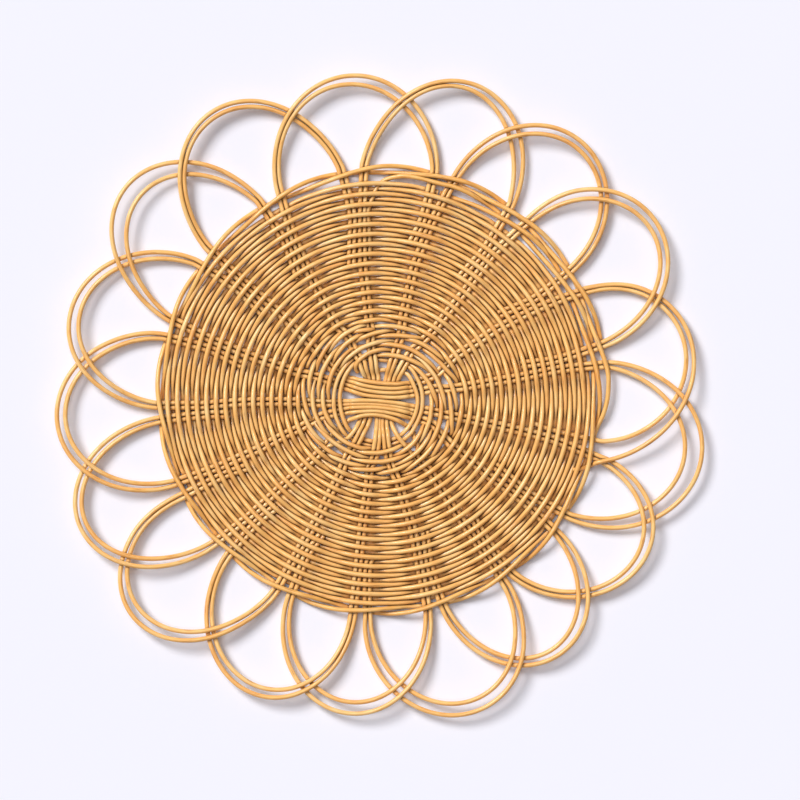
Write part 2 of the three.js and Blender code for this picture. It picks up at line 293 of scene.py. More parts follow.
def catmull_rom(knots: np.ndarray, steps: int) -> np.ndarray:
    """Points on a smooth curve through knots.

    Args:
        knots: the knots, one a row.
        steps: steps from one knot to the next.

    Returns:
        The points, one a row.
    """
    padded = np.vstack([2 * knots[0] - knots[1], knots, 2 * knots[-1] - knots[-2]])
    points = []
    for a, b, c, d in zip(padded, padded[1:], padded[2:], padded[3:]):
        for t in np.arange(steps) / steps:
            bend = (2 * a - 5 * b + 4 * c - d) * t**2 + (3 * b - a - 3 * c + d) * t**3
            points.append(0.5 * (2 * b + (c - a) * t + bend))
    return np.array([*points, knots[-1]])


def add_node(tree: Any, kind: str, inputs: dict[Any, Any] | None = None, **settings: Any) -> Any:
    """Adds a node with its settings and links.

    Args:
        tree: the node tree.
        kind: the node's bl_idname.
        inputs: for each input, by name or index, a value, a socket to link from, or a node to link from by
            its first output.
        settings: the node's own properties.

    Returns:
        The node.
    """
    node = tree.nodes.new(kind)
    for name, value in settings.items():
        setattr(node, name, value)
    for key, value in (inputs or {}).items():
        if isinstance(value, bpy.types.Node):
            value = value.outputs[0]
        if isinstance(value, bpy.types.NodeSocket):
            tree.links.new(value, node.inputs[key])
        else:
            node.inputs[key].default_value = value
    return node


def add_object(name: str, data: bpy.types.ID) -> bpy.types.Object:
    """Makes an object and puts it in the scene.

    Args:
        name: its name.
        data: its mesh, light or camera.

    Returns:
        The object.
    """
    made = bpy.data.objects.new(name, data)
    bpy.context.scene.collection.objects.link(made)
    return made


def linear(hex_colour: str) -> tuple[float, float, float, float]:
    """Turns an sRGB hex colour to the linear one that a shader takes."""
    channels = [int(hex_colour[i : i + 2], 16) / 255 for i in (1, 3, 5)]
    return (*[c / 12.92 if c <= 0.04045 else ((c + 0.055) / 1.055) ** 2.4 for c in channels], 1.0)


@dataclass(frozen=True)
class RattanFinish:
    """Peeled rattan core, split from the vine, drawn round and varnished.

    The core shows long parallel pores, and takes the varnish unevenly: the eye sees a warm honey colour that
    drifts along each cane, fine darker streaks along it, and one soft line of light where it is roundest.
    A painted shade darkens every crevice where canes touch to a deep brown, the more so the more closed in
    the place is.

    Args:
        name: the material's name.
        pale: colour of the lightest stretches.
        body: colour of most of it.
        deep: colour of the darkest stretches.
        pore: colour of the pores.
        crevice_shade: colour of the painted shade in the crevices between canes.
        crevice_shade_width: how far from a neighbour the painted shade still reaches, in metres.
        roughness: of the fibre under the varnish.
        coat: weight of the varnish.
    """

    name: str
    pale: str
    body: str
    deep: str
    pore: str
    crevice_shade: str = "#451100"
    crevice_shade_width: float = 0.0024
    roughness: float = 0.4
    coat: float = 0.4

    def material(self) -> bpy.types.Material:
        """Builds the material. It reads the canes' own coordinates: mm along, and thicknesses across.

        Returns:
            The material.
        """
        material = bpy.data.materials.new(self.name)
        material.use_nodes = True
        tree = material.node_tree
        tree.nodes.clear()
        add = partial(add_node, tree)
        place = add("ShaderNodeAttribute", attribute_name="cane_coordinate")
        tone = add("ShaderNodeAttribute", attribute_name="cane_tone")
        streaks = {}
        for name, (along, across, detail) in STREAKS.items():
            inputs = {0: place.outputs["Vector"], 1: (along, across, across)}
            scaled = add("ShaderNodeVectorMath", inputs, operation="MULTIPLY")
            streaks[name] = add("ShaderNodeTexNoise", {"Vector": scaled, "Scale": 1.0, "Detail": detail})
        shade = streaks["drift"]
        for layer, share in ((tone.outputs["Fac"], TONE_SHARE), (streaks["patch"], PATCH_SHARE)):
            inputs = {"Factor": share, VALUE_A: shade, VALUE_B: layer}
            shade = add("ShaderNodeMix", inputs, data_type="FLOAT")
        stained_and_shaded = add("ShaderNodeValToRGB", {"Fac": shade})
        ramp = stained_and_shaded.color_ramp.elements
        ramp[0].position, ramp[0].color = PALE_SHADE, linear(self.pale)
        ramp[1].position, ramp[1].color = DEEP_SHADE, linear(self.deep)
        ramp.new(BODY_SHADE).color = linear(self.body)
        # Painted shade: the colour darkens toward crevice_shade where ambient occlusion finds little open
        # room between canes; the pores are a real stain.
        occlusion = add("ShaderNodeAmbientOcclusion", {"Distance": self.crevice_shade_width}, samples=8)
        for source, (low, high, start, end), stain_and_shade_colour in (
            (streaks["pores"], PORE_STAIN, self.pore),
            (occlusion.outputs["AO"], CREVICE_SHADE, self.crevice_shade),
        ):
            inputs = {"Value": source, "From Min": low, "From Max": high, "To Min": start, "To Max": end}
            share = add("ShaderNodeMapRange", inputs)
            inputs = {"Factor": share, COLOUR_A: stained_and_shaded, COLOUR_B: linear(stain_and_shade_colour)}
            stained_and_shaded = add("ShaderNodeMix", inputs, data_type="RGBA").outputs[2]
        inputs = {"Factor": 0.5, VALUE_A: streaks["pores"], VALUE_B: streaks["fibre"]}
        height = add("ShaderNodeMix", inputs, data_type="FLOAT")
        bump = add("ShaderNodeBump", {"Strength": 0.25, "Distance": RELIEF * MM, "Height": height})
        inputs = {
            "Base Color": stained_and_shaded,
            "Roughness": self.roughness,
            "Specular IOR Level": 0.35,
            "Coat Weight": self.coat,
            "Coat Roughness": 0.16,
            "Coat IOR": 1.5,
            "Normal": bump,
        }
        add("ShaderNodeOutputMaterial", {"Surface": add("ShaderNodeBsdfPrincipled", inputs)})
        return material


@dataclass
class CaneSweeper:
    """Geometry Nodes that sweep round canes along their centre lines.

    Args:
        uneven: how much thicker or thinner a cane gets along its length, as a share.
        swells: how often it does, as the scale of a noise, to the metre.
        seed: moves the unevenness.
    """

    uneven: float = 0.06
    swells: float = 35.0
    seed: float = 3.0

    @cached_property
    def tree(self) -> bpy.types.NodeTree:
        """The tree that turns a line into a cane.

        Returns:
            The node group.
        """
        tree = bpy.data.node_groups.new("cane_sweep", "GeometryNodeTree")
        for name, kind in (
            ("Line", "Geometry"),
            ("Step", "Float"),
            ("Sides", "Int"),
            ("Uneven", "Float"),
            ("Swells", "Float"),
            ("Seed", "Float"),
            ("Material", "Material"),
        ):
            tree.interface.new_socket(name, in_out="INPUT", socket_type="NodeSocket" + kind)
        tree.interface.new_socket("Cane", in_out="OUTPUT", socket_type="NodeSocketGeometry")
        add = partial(add_node, tree)
        given = add("NodeGroupInput").outputs
        curve = add("GeometryNodeMeshToCurve", {0: given["Line"]})
        smooth = add("GeometryNodeCurveSplineType", {0: curve}, spline_type="CATMULL_ROM")
        spaced = add("GeometryNodeResampleCurve", {"Curve": smooth, "Length": given["Step"]}, mode="LENGTH")
        inputs = {"Resolution": given["Sides"], "Radius": 0.5}
        ring = add("GeometryNodeCurvePrimitiveCircle", inputs, mode="RADIUS")
        kept = []
        for source, value, kind in (
            (spaced, add("GeometryNodeSplineParameter").outputs["Length"], "FLOAT"),
            (ring, add("GeometryNodeInputPosition").outputs[0], "VECTOR"),
        ):
            keeper = add("GeometryNodeCaptureAttribute", {0: source})
            keeper.capture_items.new(kind, "kept")
            tree.links.new(value, keeper.inputs[1])
            kept += keeper.outputs[:2]
        line, length, profile, across = kept
        thick = self.thickness(add, given)
        inputs = {"Curve": line, "Profile Curve": profile, "Scale": thick, "Fill Caps": True}
        mesh = add("GeometryNodeCurveToMesh", inputs)
        named = add("GeometryNodeInputNamedAttribute", {"Name": "tone"}, data_type="FLOAT")
        tone = named.outputs["Attribute"]
        for name, value, kind in (
            ("cane_coordinate", self.coordinate(add, length, across, tone), "FLOAT_VECTOR"),
            ("cane_tone", tone, "FLOAT"),
        ):
            inputs = {"Geometry": mesh, "Name": name, "Value": value}
            mesh = add("GeometryNodeStoreNamedAttribute", inputs, data_type=kind)
        shaded = add("GeometryNodeSetShadeSmooth", {"Geometry": mesh})
        real = add("GeometryNodeRealizeInstances", {0: shaded})
        dressed = add("GeometryNodeSetMaterial", {"Geometry": real, "Material": given["Material"]})
        add("NodeGroupOutput", {0: dressed})
        return tree

    @staticmethod
    def thickness(add: Callable[..., Any], given: Any) -> Any:
        """The cane's own thickness, uneven along its length.

        Args:
            add: adds a node to the tree.
            given: the sockets of what the tree is given.

        Returns:
            The node whose first output is the thickness.
        """
        own = add("GeometryNodeInputNamedAttribute", {"Name": "thickness"}, data_type="FLOAT")
        place = add("GeometryNodeInputPosition")
        inputs = {"Vector": place, "W": given["Seed"], "Scale": given["Swells"], "Detail": 1.0}
        swell = add("ShaderNodeTexNoise", inputs, noise_dimensions="4D")
        swing = add("ShaderNodeMath", {0: swell, 1: 0.5}, operation="SUBTRACT")
        share = add("ShaderNodeMath", {0: swing, 1: given["Uneven"], 2: 1.0}, operation="MULTIPLY_ADD")
        return add("ShaderNodeMath", {0: own.outputs["Attribute"], 1: share}, operation="MULTIPLY")

    @staticmethod
    def coordinate(add: Callable[..., Any], length: Any, across: Any, tone: Any) -> Any:
        """A place on a straightened cane, in mm along it and in thicknesses across it.

        Args:
            add: adds a node to the tree.
            length: how far along the cane, in metres.
            across: place on the ring that is swept.
            tone: the cane's tone, by which its pattern is set apart from those of other canes.

        Returns:
            The node whose first output is the place.
        """
        flat = add("ShaderNodeSeparateXYZ", {0: across})
        start = add("ShaderNodeMath", {0: tone, 1: PATTERN_SPREAD}, operation="MULTIPLY")
        along = add("ShaderNodeMath", {0: length, 1: 1 / MM, 2: start}, operation="MULTIPLY_ADD")
        return add("ShaderNodeCombineXYZ", {0: along, 1: flat.outputs[0], 2: flat.outputs[1]})

    def piece(
        self, name: str, path: CanePath, material: bpy.types.Material, fineness: tuple[float, int]
    ) -> bpy.types.Object:
        """Makes one piece of one cane.

        Args:
            name: the piece's name.
            path: the cane's centre line.
            material: its material.
            fineness: length of one step along it, in mm, and flats round it.

        Returns:
            A plain mesh object at the origin.
        """
        count = len(path.points)
        line = bpy.data.meshes.new(name + "_line")
        line.from_pydata((np.array(path.points) * MM).tolist(), [(i, i + 1) for i in range(count - 1)], [])
        thickness = np.broadcast_to(path.thickness, count) * MM
        for key, values in (("thickness", thickness), ("tone", np.full(count, path.tone))):
            attribute = line.attributes.new(key, "FLOAT", "POINT")
            attribute.data.foreach_set("value", values.astype(np.float32))
        holder = add_object(name + "_line", line)
        modifier = holder.modifiers.new("sweep", "NODES")
        modifier.node_group = self.tree
        inputs = {
            "Step": fineness[0] * MM,
            "Sides": fineness[1],
            "Uneven": self.uneven,
            "Swells": self.swells,
            "Seed": self.seed,
            "Material": material,
        }
        for item in self.tree.interface.items_tree:
            if item.in_out == "INPUT" and item.name in inputs:
                modifier[item.identifier] = inputs[item.name]
        evaluated = holder.evaluated_get(bpy.context.evaluated_depsgraph_get())
        mesh = bpy.data.meshes.new_from_object(evaluated)
        bpy.data.objects.remove(holder)
        mesh.name = name
        return add_object(name, mesh)


def finish_piece(piece: bpy.types.Object, replaced: Iterable[str]) -> None:
    """Puts a piece on the mat's one body and in place of its solids.

    Args:
        piece: the piece.
        replaced: names of the solids that it stands for.
    """
    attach(piece, "root")
    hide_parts(*replaced)
    log.info("%s: %d faces", piece.name, len(piece.data.polygons))


@dataclass(frozen=True)
class Loop:
    """One cane of a petal, an arc of an ellipse.

    Args:
        at: its direction in degrees.
        centre: how far out its middle lies, in mm.
        long: half its length, in mm.
        wide: half its width, in mm.
        lean: degrees that it is turned.
    """

    at: float
    centre: float
    long: float
    wide: float
    lean: float

    def point(self, turn: float) -> np.ndarray:
        """Point of the ellipse.

        Args:
            turn: how far round it, in radians.

        Returns:
            The point in mm from the tables' origin.
        """
        along, across = self.long * math.cos(turn), self.wide * math.sin(turn)
        tilt, way = math.radians(self.lean), math.radians(self.at)
        u = self.centre + along * math.cos(tilt) - across * math.sin(tilt)
        v = along * math.sin(tilt) + across * math.cos(tilt)
        return np.array([u * math.cos(way) - v * math.sin(way), u * math.sin(way) + v * math.cos(way)])


# Each petal's outer and inner cane. The columns are the fields of Loop.
PETALS = tuple((Loop(*outer), Loop(*inner)) for outer, inner in (
    ((4.4, 128.8, 60.7, 52.5, 22), (6.2, 136.2, 48.3, 45.2, 24)),
    ((30.4, 140.9, 52.0, 46.7, 3), (30.3, 135.7, 52.2, 43.4, -1)),
    ((51.1, 137.7, 53.0, 46.8, 2), (51.1, 135.5, 50.6, 43.6, -4)),
    ((74.1, 135.0, 55.9, 47.0, -6), (74.3, 127.8, 59.5, 44.2, 1)),
    ((96.5, 134.3, 54.4, 48.7, -5), (96.6, 133.4, 50.4, 45.4, 8)),
    ((120.7, 136.2, 58.2, 47.9, 1), (120.7, 138.5, 52.4, 44.6, 3)),
    ((141.8, 137.6, 57.3, 46.4, -1), (142.1, 131.1, 54.0, 42.7, -5)),
    ((165.0, 139.8, 52.0, 45.8, 13), (164.8, 134.9, 51.1, 42.7, 8)),
    ((185.7, 142.7, 52.3, 46.4, 1), (185.7, 139.3, 50.6, 43.0, 0)),
    ((205.1, 145.4, 52.9, 43.5, -3), (205.0, 141.7, 52.4, 40.0, -4)),
    ((224.3, 147.7, 54.2, 43.4, -8), (224.3, 147.0, 49.2, 40.2, -13)),
    ((245.6, 144.2, 54.0, 44.5, 11), (245.6, 144.7, 48.6, 41.6, 15)),
    ((264.2, 143.4, 51.9, 44.4, 1), (264.2, 140.2, 48.3, 41.1, 1)),
    ((284.6, 150.6, 51.2, 46.2, 18), (284.6, 146.0, 48.8, 42.0, 14)),
    ((303.5, 142.7, 49.0, 42.9, 5), (303.5, 138.1, 48.7, 39.4, -2)),
    ((324.3, 139.3, 50.1, 43.5, 30), (324.1, 136.8, 47.1, 41.2, 23)),
    ((346.0, 141.6, 55.1, 49.1, 11), (345.9, 134.0, 52.4, 45.2, 6)),
))  # fmt: skip


@dataclass(frozen=True)
class Rises:
    """How a petal cane rises, in half steps: over a neighbour is 1, under it is -1.

    Args:
        foot: at its clockwise foot.
        first: at its first crossing.
        second: at its second crossing.
        first_at: where the first crossing is, as a share of the way along the cane.
        second_at: the same for the second.
        level_for: how far to either side of a crossing the rise holds.
        gone_by: by how far from it the rise is gone.
    """

    foot: float = 0.0
    first: float = -1.0
    second: float = 1.0
    first_at: float = 0.27
    second_at: float = 0.73
    level_for: float = 0.08
    gone_by: float = 0.24

    def at(self, share: float) -> float:
        """Rise at a place of the cane.

        Args:
            share: share of the way along it.

        Returns:
            The rise in half steps.
        """
        first = 1 - smoothstep(abs(share - self.first_at), self.level_for, self.gone_by)
        second = 1 - smoothstep(abs(share - self.second_at), self.level_for, self.gone_by)
        start = self.foot * (1 - first) if share < self.first_at else 0.0
        return start + self.first * first + self.second * second


# The petals whose canes cross their neighbours otherwise, outer and inner.
CROSSINGS = {
    0: (Rises(foot=2, first=2, second=-1), Rises(first=-2, second=-1)),
    1: (Rises(first=1), Rises(first=1)),
    16: (Rises(second=0), Rises(second=0)),
}


class Side(Enum):
    """Which cane of a petal, by its place in the tables."""

    OUTER = 0
    INNER = 1


@dataclass(frozen=True)
class Crossing:
    """A long cane's stretch at the hub.

    Args:
        offsets: its offsets in mm from the hub's centre, at the places that its table names.
        start: the group that its left or top end joins, and whether it is the clockwise one of the pair.
        end: the same for its right or bottom end.
        sunk: how far it is pressed down between its neighbours, in mm.
        beyond: more points past the last offset, in mm from the hub's centre.
    """

    offsets: tuple[float, ...]
    start: tuple[int, bool]
    end: tuple[int, bool]
    sunk: float = 0.0
    beyond: tuple[tuple[float, float], ...] = ()


# The nine canes on top run from left to right, and the eight under them from the top down. Their offsets
# are read at these distances from the hub's centre, in mm.
OVER_AT = (-19.0, -10.0, 0.0, 10.0, 19.0)
OVER_CANES = (
    Crossing((15.0, 12.8, 11.3, 10.8, 11.7), (6, True), (1, False)),
    Crossing((13.0, 10.1, 8.5, 8.1, 9.0), (6, False), (1, True)),
    Crossing((10.3, 7.4, 5.85, 5.5, 6.4), (7, True), (0, False)),
    Crossing((7.4, 4.5, 3.15, 2.7, 3.6), (7, False), (0, True)),
    Crossing((0.5, 1.0, 0.55, -0.55, -2.2), (8, True), (16, False)),
    Crossing((-1.45, -1.15, -1.55, -2.75, -4.5), (8, False), (16, True), sunk=0.5),
    Crossing((-3.55, -3.2, -3.35, -4.7, -6.85), (9, True), (15, False)),
    Crossing((-6.5, -5.6, -5.6, -7.4, -9.9), (9, False), (15, True)),
    Crossing(
        (-11.35, -8.05, -7.9, -10.65, -16.3),
        (10, True),
        (14, False),
        beyond=((20.6, -20.4), (23.1, -25.5)),
    ),
)
UNDER_AT = (24.0, 19.0, 13.0, 0.0, -11.0, -19.0, -24.0)
UNDER_CANES = (
    Crossing((-12.2, -10.5, -8.5, -9.9, -11.8, -16.4, -22.0), (5, False), (10, False)),
    Crossing((-9.0, -7.8, -6.3, -7.3, -9.1, -12.8, -15.2), (5, True), (11, True)),
    Crossing((-5.1, -4.5, -3.5, -4.6, -5.9, -9.5, -11.9), (4, False), (11, False)),
    Crossing((-2.2, -1.6, -0.7, -1.9, -1.5, -2.15, -2.7), (4, True), (12, True)),
    Crossing((6.4, 5.1, 3.75, 0.8, 0.2, 0.1, -0.1), (3, False), (12, False), sunk=0.4),
    Crossing((9.4, 7.5, 5.6, 3.5, 1.9, 2.3, 2.8), (3, True), (13, True)),
    Crossing((13.66, 11.0, 8.5, 6.2, 4.3, 4.9, 5.4), (2, False), (13, False)),
    Crossing((17.2, 14.2, 11.2, 9.0, 7.0, 10.0, 13.6), (2, True), (14, True)),
)


REACH_STEP = 0.05  # from point to point of a stake or a tucked end
TUCK_SLACK = 0.01  # how much further in than its group says a tucked end may reach
STAKE_REACHES = (0.1, 0.15, 0.2, *np.arange(0.25, 0.96, REACH_STEP))

# One petal cane is tucked in loosely, across its neighbour's legs: reach, direction, and rise in steps.
LOOSE_TIP = (
    (1.017, 341.3, 0.9), (0.996, 340.5, -0.1), (0.975, 339.7, -0.85), (0.952, 338.9, -0.45),
    (0.927, 338.2, -0.1), (0.906, 337.6, -0.1),
)  # fmt: skip


@dataclass
class LongCanes:
    """The seventeen long canes, each whole from one tucked tip to the other.

    Args:
        finish: their material's finish.
        sweeper: makes their meshes.
        loop_from: radius past which a petal leaves the rim, in mm.
        eased_to: radius by which it follows its own ellipse.
        lift: how far a petal's outermost part rises from the table, in mm.
        lifted_by: radius by which it has risen.
        arc_samples: points round a whole ellipse.
        finer: times as many are worked out, so that a petal starts and ends close to the rim.
        loose: the petal whose outer cane is tucked in loosely and whose inner one lies alone.
        beside: where a tucked cane lies from the middle of its pair, in canes.
        alone: the same for the one that lies alone.
        flat_to: radius inside which the nine canes lie on the eight, in mm.
        turned_from: radius outside which they lie the other way up.
        easing_from: radius from which they come level.
        level_from: radius from which they are level with the weave's stakes.
        clear: from a cane's last point at the hub to its first in the weave, in mm.
        knot_steps: points from one offset of a table to the next.
        tones: range of how dark the canes are.
        seed: deals the tones out.
        fineness: length of one step along a cane, in mm, and flats round it.
    """

    finish: RattanFinish
    sweeper: CaneSweeper
    loop_from: float = 138.5
    eased_to: float = 172.0
    lift: float = 4.0
    lifted_by: float = 195.0
    arc_samples: int = 72
    finer: int = 4
    loose: int = 0
    beside: float = 0.5
    alone: float = -0.2
    flat_to: float = 16.0
    turned_from: float = 21.4
    easing_from: float = 26.9
    level_from: float = 33.0
    clear: float = 4.0
    knot_steps: int = 4
    tones: tuple[float, float] = (0.38, 0.62)
    seed: int = 17
    fineness: tuple[float, int] = (1.5, 12)

    def petal(self, group: int, low: bool) -> list[np.ndarray]:
        """The petal cane that a stake becomes, from the rim outwards, round and back in.

        Args:
            group: the stake's group.
            low: whether the stake is the clockwise one of its pair.

        Returns:
            Its points. Near its feet the ellipse is eased over to where the feet pass under the rim.
        """
        index = (group - 1) % COUNT
        side = Side.INNER if low else Side.OUTER
        loop = PETALS[index][side.value]
        rises = CROSSINGS.get(index, (Rises(), Rises()))[side.value]
        samples = self.finer * self.arc_samples
        turns = (np.arange(samples) / samples - 0.5) * 2 * math.pi
        arc = np.array([loop.point(turn) for turn in turns]) + MEASURED_FROM
        foot_radius = WEAVE.radius(WEAVE.foot_reach)
        centre = np.array(WEAVE.rim_centre) + MEASURED_FROM
        away = np.hypot(*(arc - centre).T)
        arc, away = arc[away > foot_radius], away[away > foot_radius]
        start = self.tucked_end(group, low)[0][:2] - arc[0]
        if index == self.loose and not low:
            start = np.zeros(2)
        end = self.stake(group, low)[-1][:2] - arc[-1]
        points = []
        for i in range(self.finer // 2, len(arc), self.finer):
            if away[i] < self.loop_from:
                continue
            share = i / (len(arc) - 1)
            ease = 1 - smoothstep(away[i], foot_radius, self.eased_to)
            x, y = arc[i] + ease * (start if share < 0.5 else end)
            lift = self.lift * smoothstep(away[i], foot_radius, self.lifted_by)
            points.append(np.array([x, y, WEAVE.level + rises.at(share) / 2 * STEP + lift]))
        points.reverse()
        return points

    def tucked_end(self, group: int, low: bool) -> list[np.ndarray]:
        """The tucked end of a petal cane.

        Args:
            group: the group of its stake.
            low: whether the stake is the clockwise one of its pair.

        Returns:
            Its points, from the rim inwards.
        """
        index = (group - 1) % COUNT
        home = (index - 1) % COUNT
        if index == self.loose and not low:
            return [WEAVE.point(*knot) for knot in LOOSE_TIP]
        beside = self.beside if low else -self.beside
        offset = (self.alone if index == self.loose else beside) * WEAVE.four_pitch
        reaches = np.arange(WEAVE.foot_reach, GROUPS[home].tucked - TUCK_SLACK, -REACH_STEP)
        return [WEAVE.point(r, WEAVE.tucked(home, r) + WEAVE.turn(offset, r)) for r in reaches]

    def stake(self, group: int, low: bool, after: float = 0.0) -> list[np.ndarray]:
        """A stake from the hub out to its foot under the rim.

        Args:
            group: the stake's group.
            low: whether it is the clockwise one of its pair.
            after: radius that it starts past, in mm.

        Returns:
            Its points.
        """
        points = []
        for reach in (*STAKE_REACHES, WEAVE.foot_reach):
            if WEAVE.radius(reach) < after:
                continue
            closing = (MEASURED_REACHES[-1], WEAVE.outer_reach)
            pitch = np.interp(reach, closing, (WEAVE.pair_pitch, WEAVE.four_pitch))
            offset = (-0.5 if low else 0.5) * pitch
            points.append(WEAVE.point(reach, WEAVE.pair(group, reach) + WEAVE.turn(offset, reach)))
        return points

    def crossing(self, cane: Crossing, upright: bool) -> list[np.ndarray]:
        """A cane's stretch over or under the hub's cross.

        Args:
            cane: the cane.
            upright: whether it is one of the eight that lie under the nine.

        Returns:
            Its points, from the left or the top.
        """
        if upright:
            flat = list(zip(cane.offsets, UNDER_AT))
        else:
            flat = list(zip(OVER_AT, cane.offsets))
        top = -1.0 if upright else 1.0
        points = []
        for x, y in catmull_rom(np.array([*flat, *cane.beyond]), self.knot_steps):
            away = math.hypot(x, y)
            turned = smoothstep(away, self.flat_to, self.turned_from)
            level = smoothstep(away, self.easing_from, self.level_from)
            rise = top * 0.5 * (1 - 2 * turned) * (1 - level)
            sunk = cane.sunk * (1 - turned)
            place = np.array(WEAVE.hub_centre) + MEASURED_FROM + (x, y)
            points.append(np.array([place[0], place[1], WEAVE.level + rise * STEP - sunk]))
        return points

    def path(self, cane: Crossing, upright: bool, tone: float) -> CanePath:
        """The whole centre line of a long cane.

        Args:
            cane: its stretch at the hub.
            upright: whether it is one of the eight that lie under the nine.
            tone: how dark it is.

        Returns:
            The centre line.
        """
        hub = self.crossing(cane, upright)
        centre = np.array(WEAVE.hub_centre) + MEASURED_FROM
        ends = []
        for (group, low), last in ((cane.start, hub[0]), (cane.end, hub[-1])):
            after = math.hypot(*(last[:2] - centre)) + self.clear
            ends.append(self.stake(group, low, after) + self.petal(group, low) + self.tucked_end(group, low))
        return CanePath([*reversed(ends[0]), *hub, *ends[1]], CANE, tone)

    def build(self) -> None:
        """Makes one piece of each long cane, in place of its crossing and its two petal canes."""
        material = self.finish.material()
        tones = np.random.default_rng(self.seed).uniform(*self.tones, COUNT)
        number = 0
        for upright, canes in ((False, OVER_CANES), (True, UNDER_CANES)):
            for i, cane in enumerate(canes, 1):
                path = self.path(cane, upright, tones[number])
                name = f"long_cane_{number + 1:02d}"
                piece = self.sweeper.piece(name, path, material, self.fineness)
                solids = [f"cross_{'under' if upright else 'over'}_{i}"]
                for group, low in (cane.start, cane.end):
                    solids.append(f"petal_{(group - 1) % COUNT + 1:02d}_{'inner' if low else 'outer'}")
                finish_piece(piece, solids)
                number += 1


@dataclass(frozen=True)
class Pass:
    """One pass of a weaver over the stakes near the hub, wound clockwise.

    Args:
        from_degrees: where it comes up.
        from_reach: how far out that is.
        middle_reach: how far out its middle is.
        to_degrees: where it dives.
        to_reach: how far out that is.
    """

    from_degrees: float
    from_reach: float
    middle_reach: float
    to_degrees: float
    to_reach: float

    def reach(self, share: float) -> float:
        """How far out it is, some share of the way along."""
        bulge = 4 * share * (1 - share) * (self.middle_reach - (self.from_reach + self.to_reach) / 2)
        return self.from_reach + (self.to_reach - self.from_reach) * share + bulge


# The wrapping cane's two turns: direction, reach, and rise in steps.
WRAP_LINE = (
    (108, -0.045, -0.5), (85, -0.040, -0.5), (62, -0.024, -0.5), (50, -0.007, 0.0), (38, -0.004, 0.5),
    (10, -0.009, 0.5), (-12, -0.011, 0.5), (-35, -0.010, 0.5), (-52, -0.005, 0.4), (-61, -0.004, 0.0),
    (-72, -0.003, -0.5), (-90, 0.000, -0.5), (-112, 0.003, -0.5), (-131, 0.006, 0.0), (-142, 0.006, 0.5),
    (-160, -0.002, 0.5), (-178, -0.003, 0.5), (-195, 0.003, 0.5), (-215, 0.015, 0.5), (-230, 0.026, 0.4),
    (-240, 0.030, 0.0), (-250, 0.025, -0.5), (-272, 0.012, -0.5), (-295, 0.018, -0.5), (-308, 0.028, 0.0),
    (-320, 0.028, 0.5), (-345, 0.019, 0.5), (-372, 0.015, 0.5), (-400, 0.020, 0.5), (-414, 0.025, 0.4),
    (-422, 0.025, 0.0), (-432, 0.024, -0.5), (-450, 0.026, -0.5), (-470, 0.030, -0.5), (-490, 0.038, 0.0),
    (-501, 0.038, 0.5), (-520, 0.034, 0.5), (-540, 0.031, 0.5), (-560, 0.037, 0.5), (-580, 0.045, 0.5),
    (-596, 0.054, 0.1),
)  # fmt: skip

# The wrapping cane goes on as a weaver, over one or two groups at a time. The columns are those of Pass.
WRAP_PASSES = tuple(Pass(*row) for row in (
    (93, 0.035, 0.054, 30, 0.098), (7, 0.065, 0.072, 313, 0.095), (298, 0.050, 0.061, 245, 0.080),
    (213, 0.065, 0.088, 163, 0.095), (140, 0.065, 0.086, 78, 0.115), (51, 0.095, 0.113, -8, 0.140),
    (331, 0.105, 0.128, 283, 0.142), (258, 0.100, 0.113, 200, 0.155), (178, 0.115, 0.132, 128, 0.145),
    (112, 0.130, 0.146, 80, 0.165), (68, 0.145, 0.169, 30, 0.190), (22, 0.165, 0.184, -7, 0.200),
    (343, 0.175, 0.184, 312, 0.197), (300, 0.155, 0.171, 268, 0.180), (258, 0.148, 0.168, 226, 0.190),
    (218, 0.165, 0.192, 187, 0.208), (178, 0.160, 0.181, 148, 0.190), (137, 0.165, 0.187, 100, 0.195),
    (93, 0.182, 0.189, 60, 0.200),
))  # fmt: skip

# A second weaver starts beside it, over the first stakes, and ends where single groups are woven.
SECOND_LINE = (
    (125.2, -0.015, -0.5), (126.0, 0.002, 0.0), (122.5, 0.020, 0.6), (115.6, 0.034, 0.95),
    (104, 0.049, 1.0), (92, 0.060, 0.95), (84, 0.065, 0.5), (76, 0.066, -0.2),
)  # fmt: skip
SECOND_PASSES = tuple(Pass(*row) for row in (
    (50, 0.045, 0.066, -6, 0.095), (331, 0.055, 0.075, 285, 0.090), (259, 0.045, 0.073, 200, 0.100),
    (178, 0.060, 0.084, 118, 0.100), (93, 0.085, 0.108, 25, 0.130), (7, 0.110, 0.130, 310, 0.150),
    (299, 0.110, 0.114, 245, 0.130), (216, 0.115, 0.144, 163, 0.150), (141, 0.110, 0.139, 102, 0.155),
    (93, 0.130, 0.148, 55, 0.185), (49, 0.150, 0.168, 13, 0.210), (7, 0.160, 0.175, -25, 0.210),
    (326, 0.157, 0.172, 288, 0.190), (275, 0.150, 0.167, 246, 0.185), (236, 0.155, 0.182, 203, 0.205),
    (196, 0.170, 0.194, 165, 0.210), (155, 0.165, 0.186, 120, 0.200), (112, 0.178, 0.172, 95, 0.165),
))  # fmt: skip


# A pass seen from the side: share of the way along it, and rise in steps.
PASS_RISES = ((0.0, 0.0), (0.2, 0.85), (0.5, 1.0), (0.8, 0.85), (1.0, 0.0))
DIPS = (0.3, 0.7)  # shares of the way from pass to pass at which a weaver lies lowest


